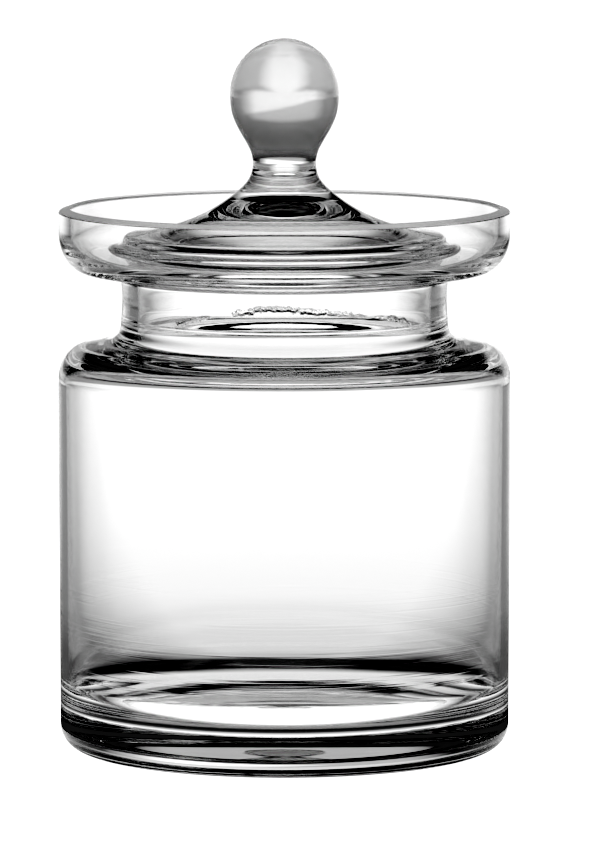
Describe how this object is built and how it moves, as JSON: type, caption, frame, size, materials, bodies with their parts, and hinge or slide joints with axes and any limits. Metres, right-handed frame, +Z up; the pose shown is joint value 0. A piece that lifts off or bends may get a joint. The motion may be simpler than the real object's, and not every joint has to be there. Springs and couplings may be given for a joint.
{
  "type": "lidded glass jar",
  "caption": "Clear glass storage or display jar: heavy base, straight body, short neck, dish-shaped gallery rim, and a loose glass lid, hollow beneath, with a solid ball knob.",
  "frame": {"origin": "centre of the foot, on the plane the jar stands on", "axes": "+Z up along the jar's axis of revolution; X and Y lie in the foot's plane and are equivalent"},
  "size_m": [0.1298, 0.1298, 0.2042],
  "materials": {
    "jar_glass": "clear colourless blown glass, fire polished, with a ground flat rim and a ground mark under the base",
    "lid_glass": "clear colourless glass, solid in the knob and hollow under the cap, fire polished, with faint tool marks round the stem"
  },
  "bodies": {
    "jar": {"jar": "jar_glass"},
    "lid": {"lid_cap": "lid_glass", "lid_knob": "lid_glass"}
  },
  "joints": [
    {"name": "lid_lift", "type": "slide", "parent": "jar", "child": "lid", "axis": [0, 0, 1], "range_m": [0, 0.07]}
  ]
}
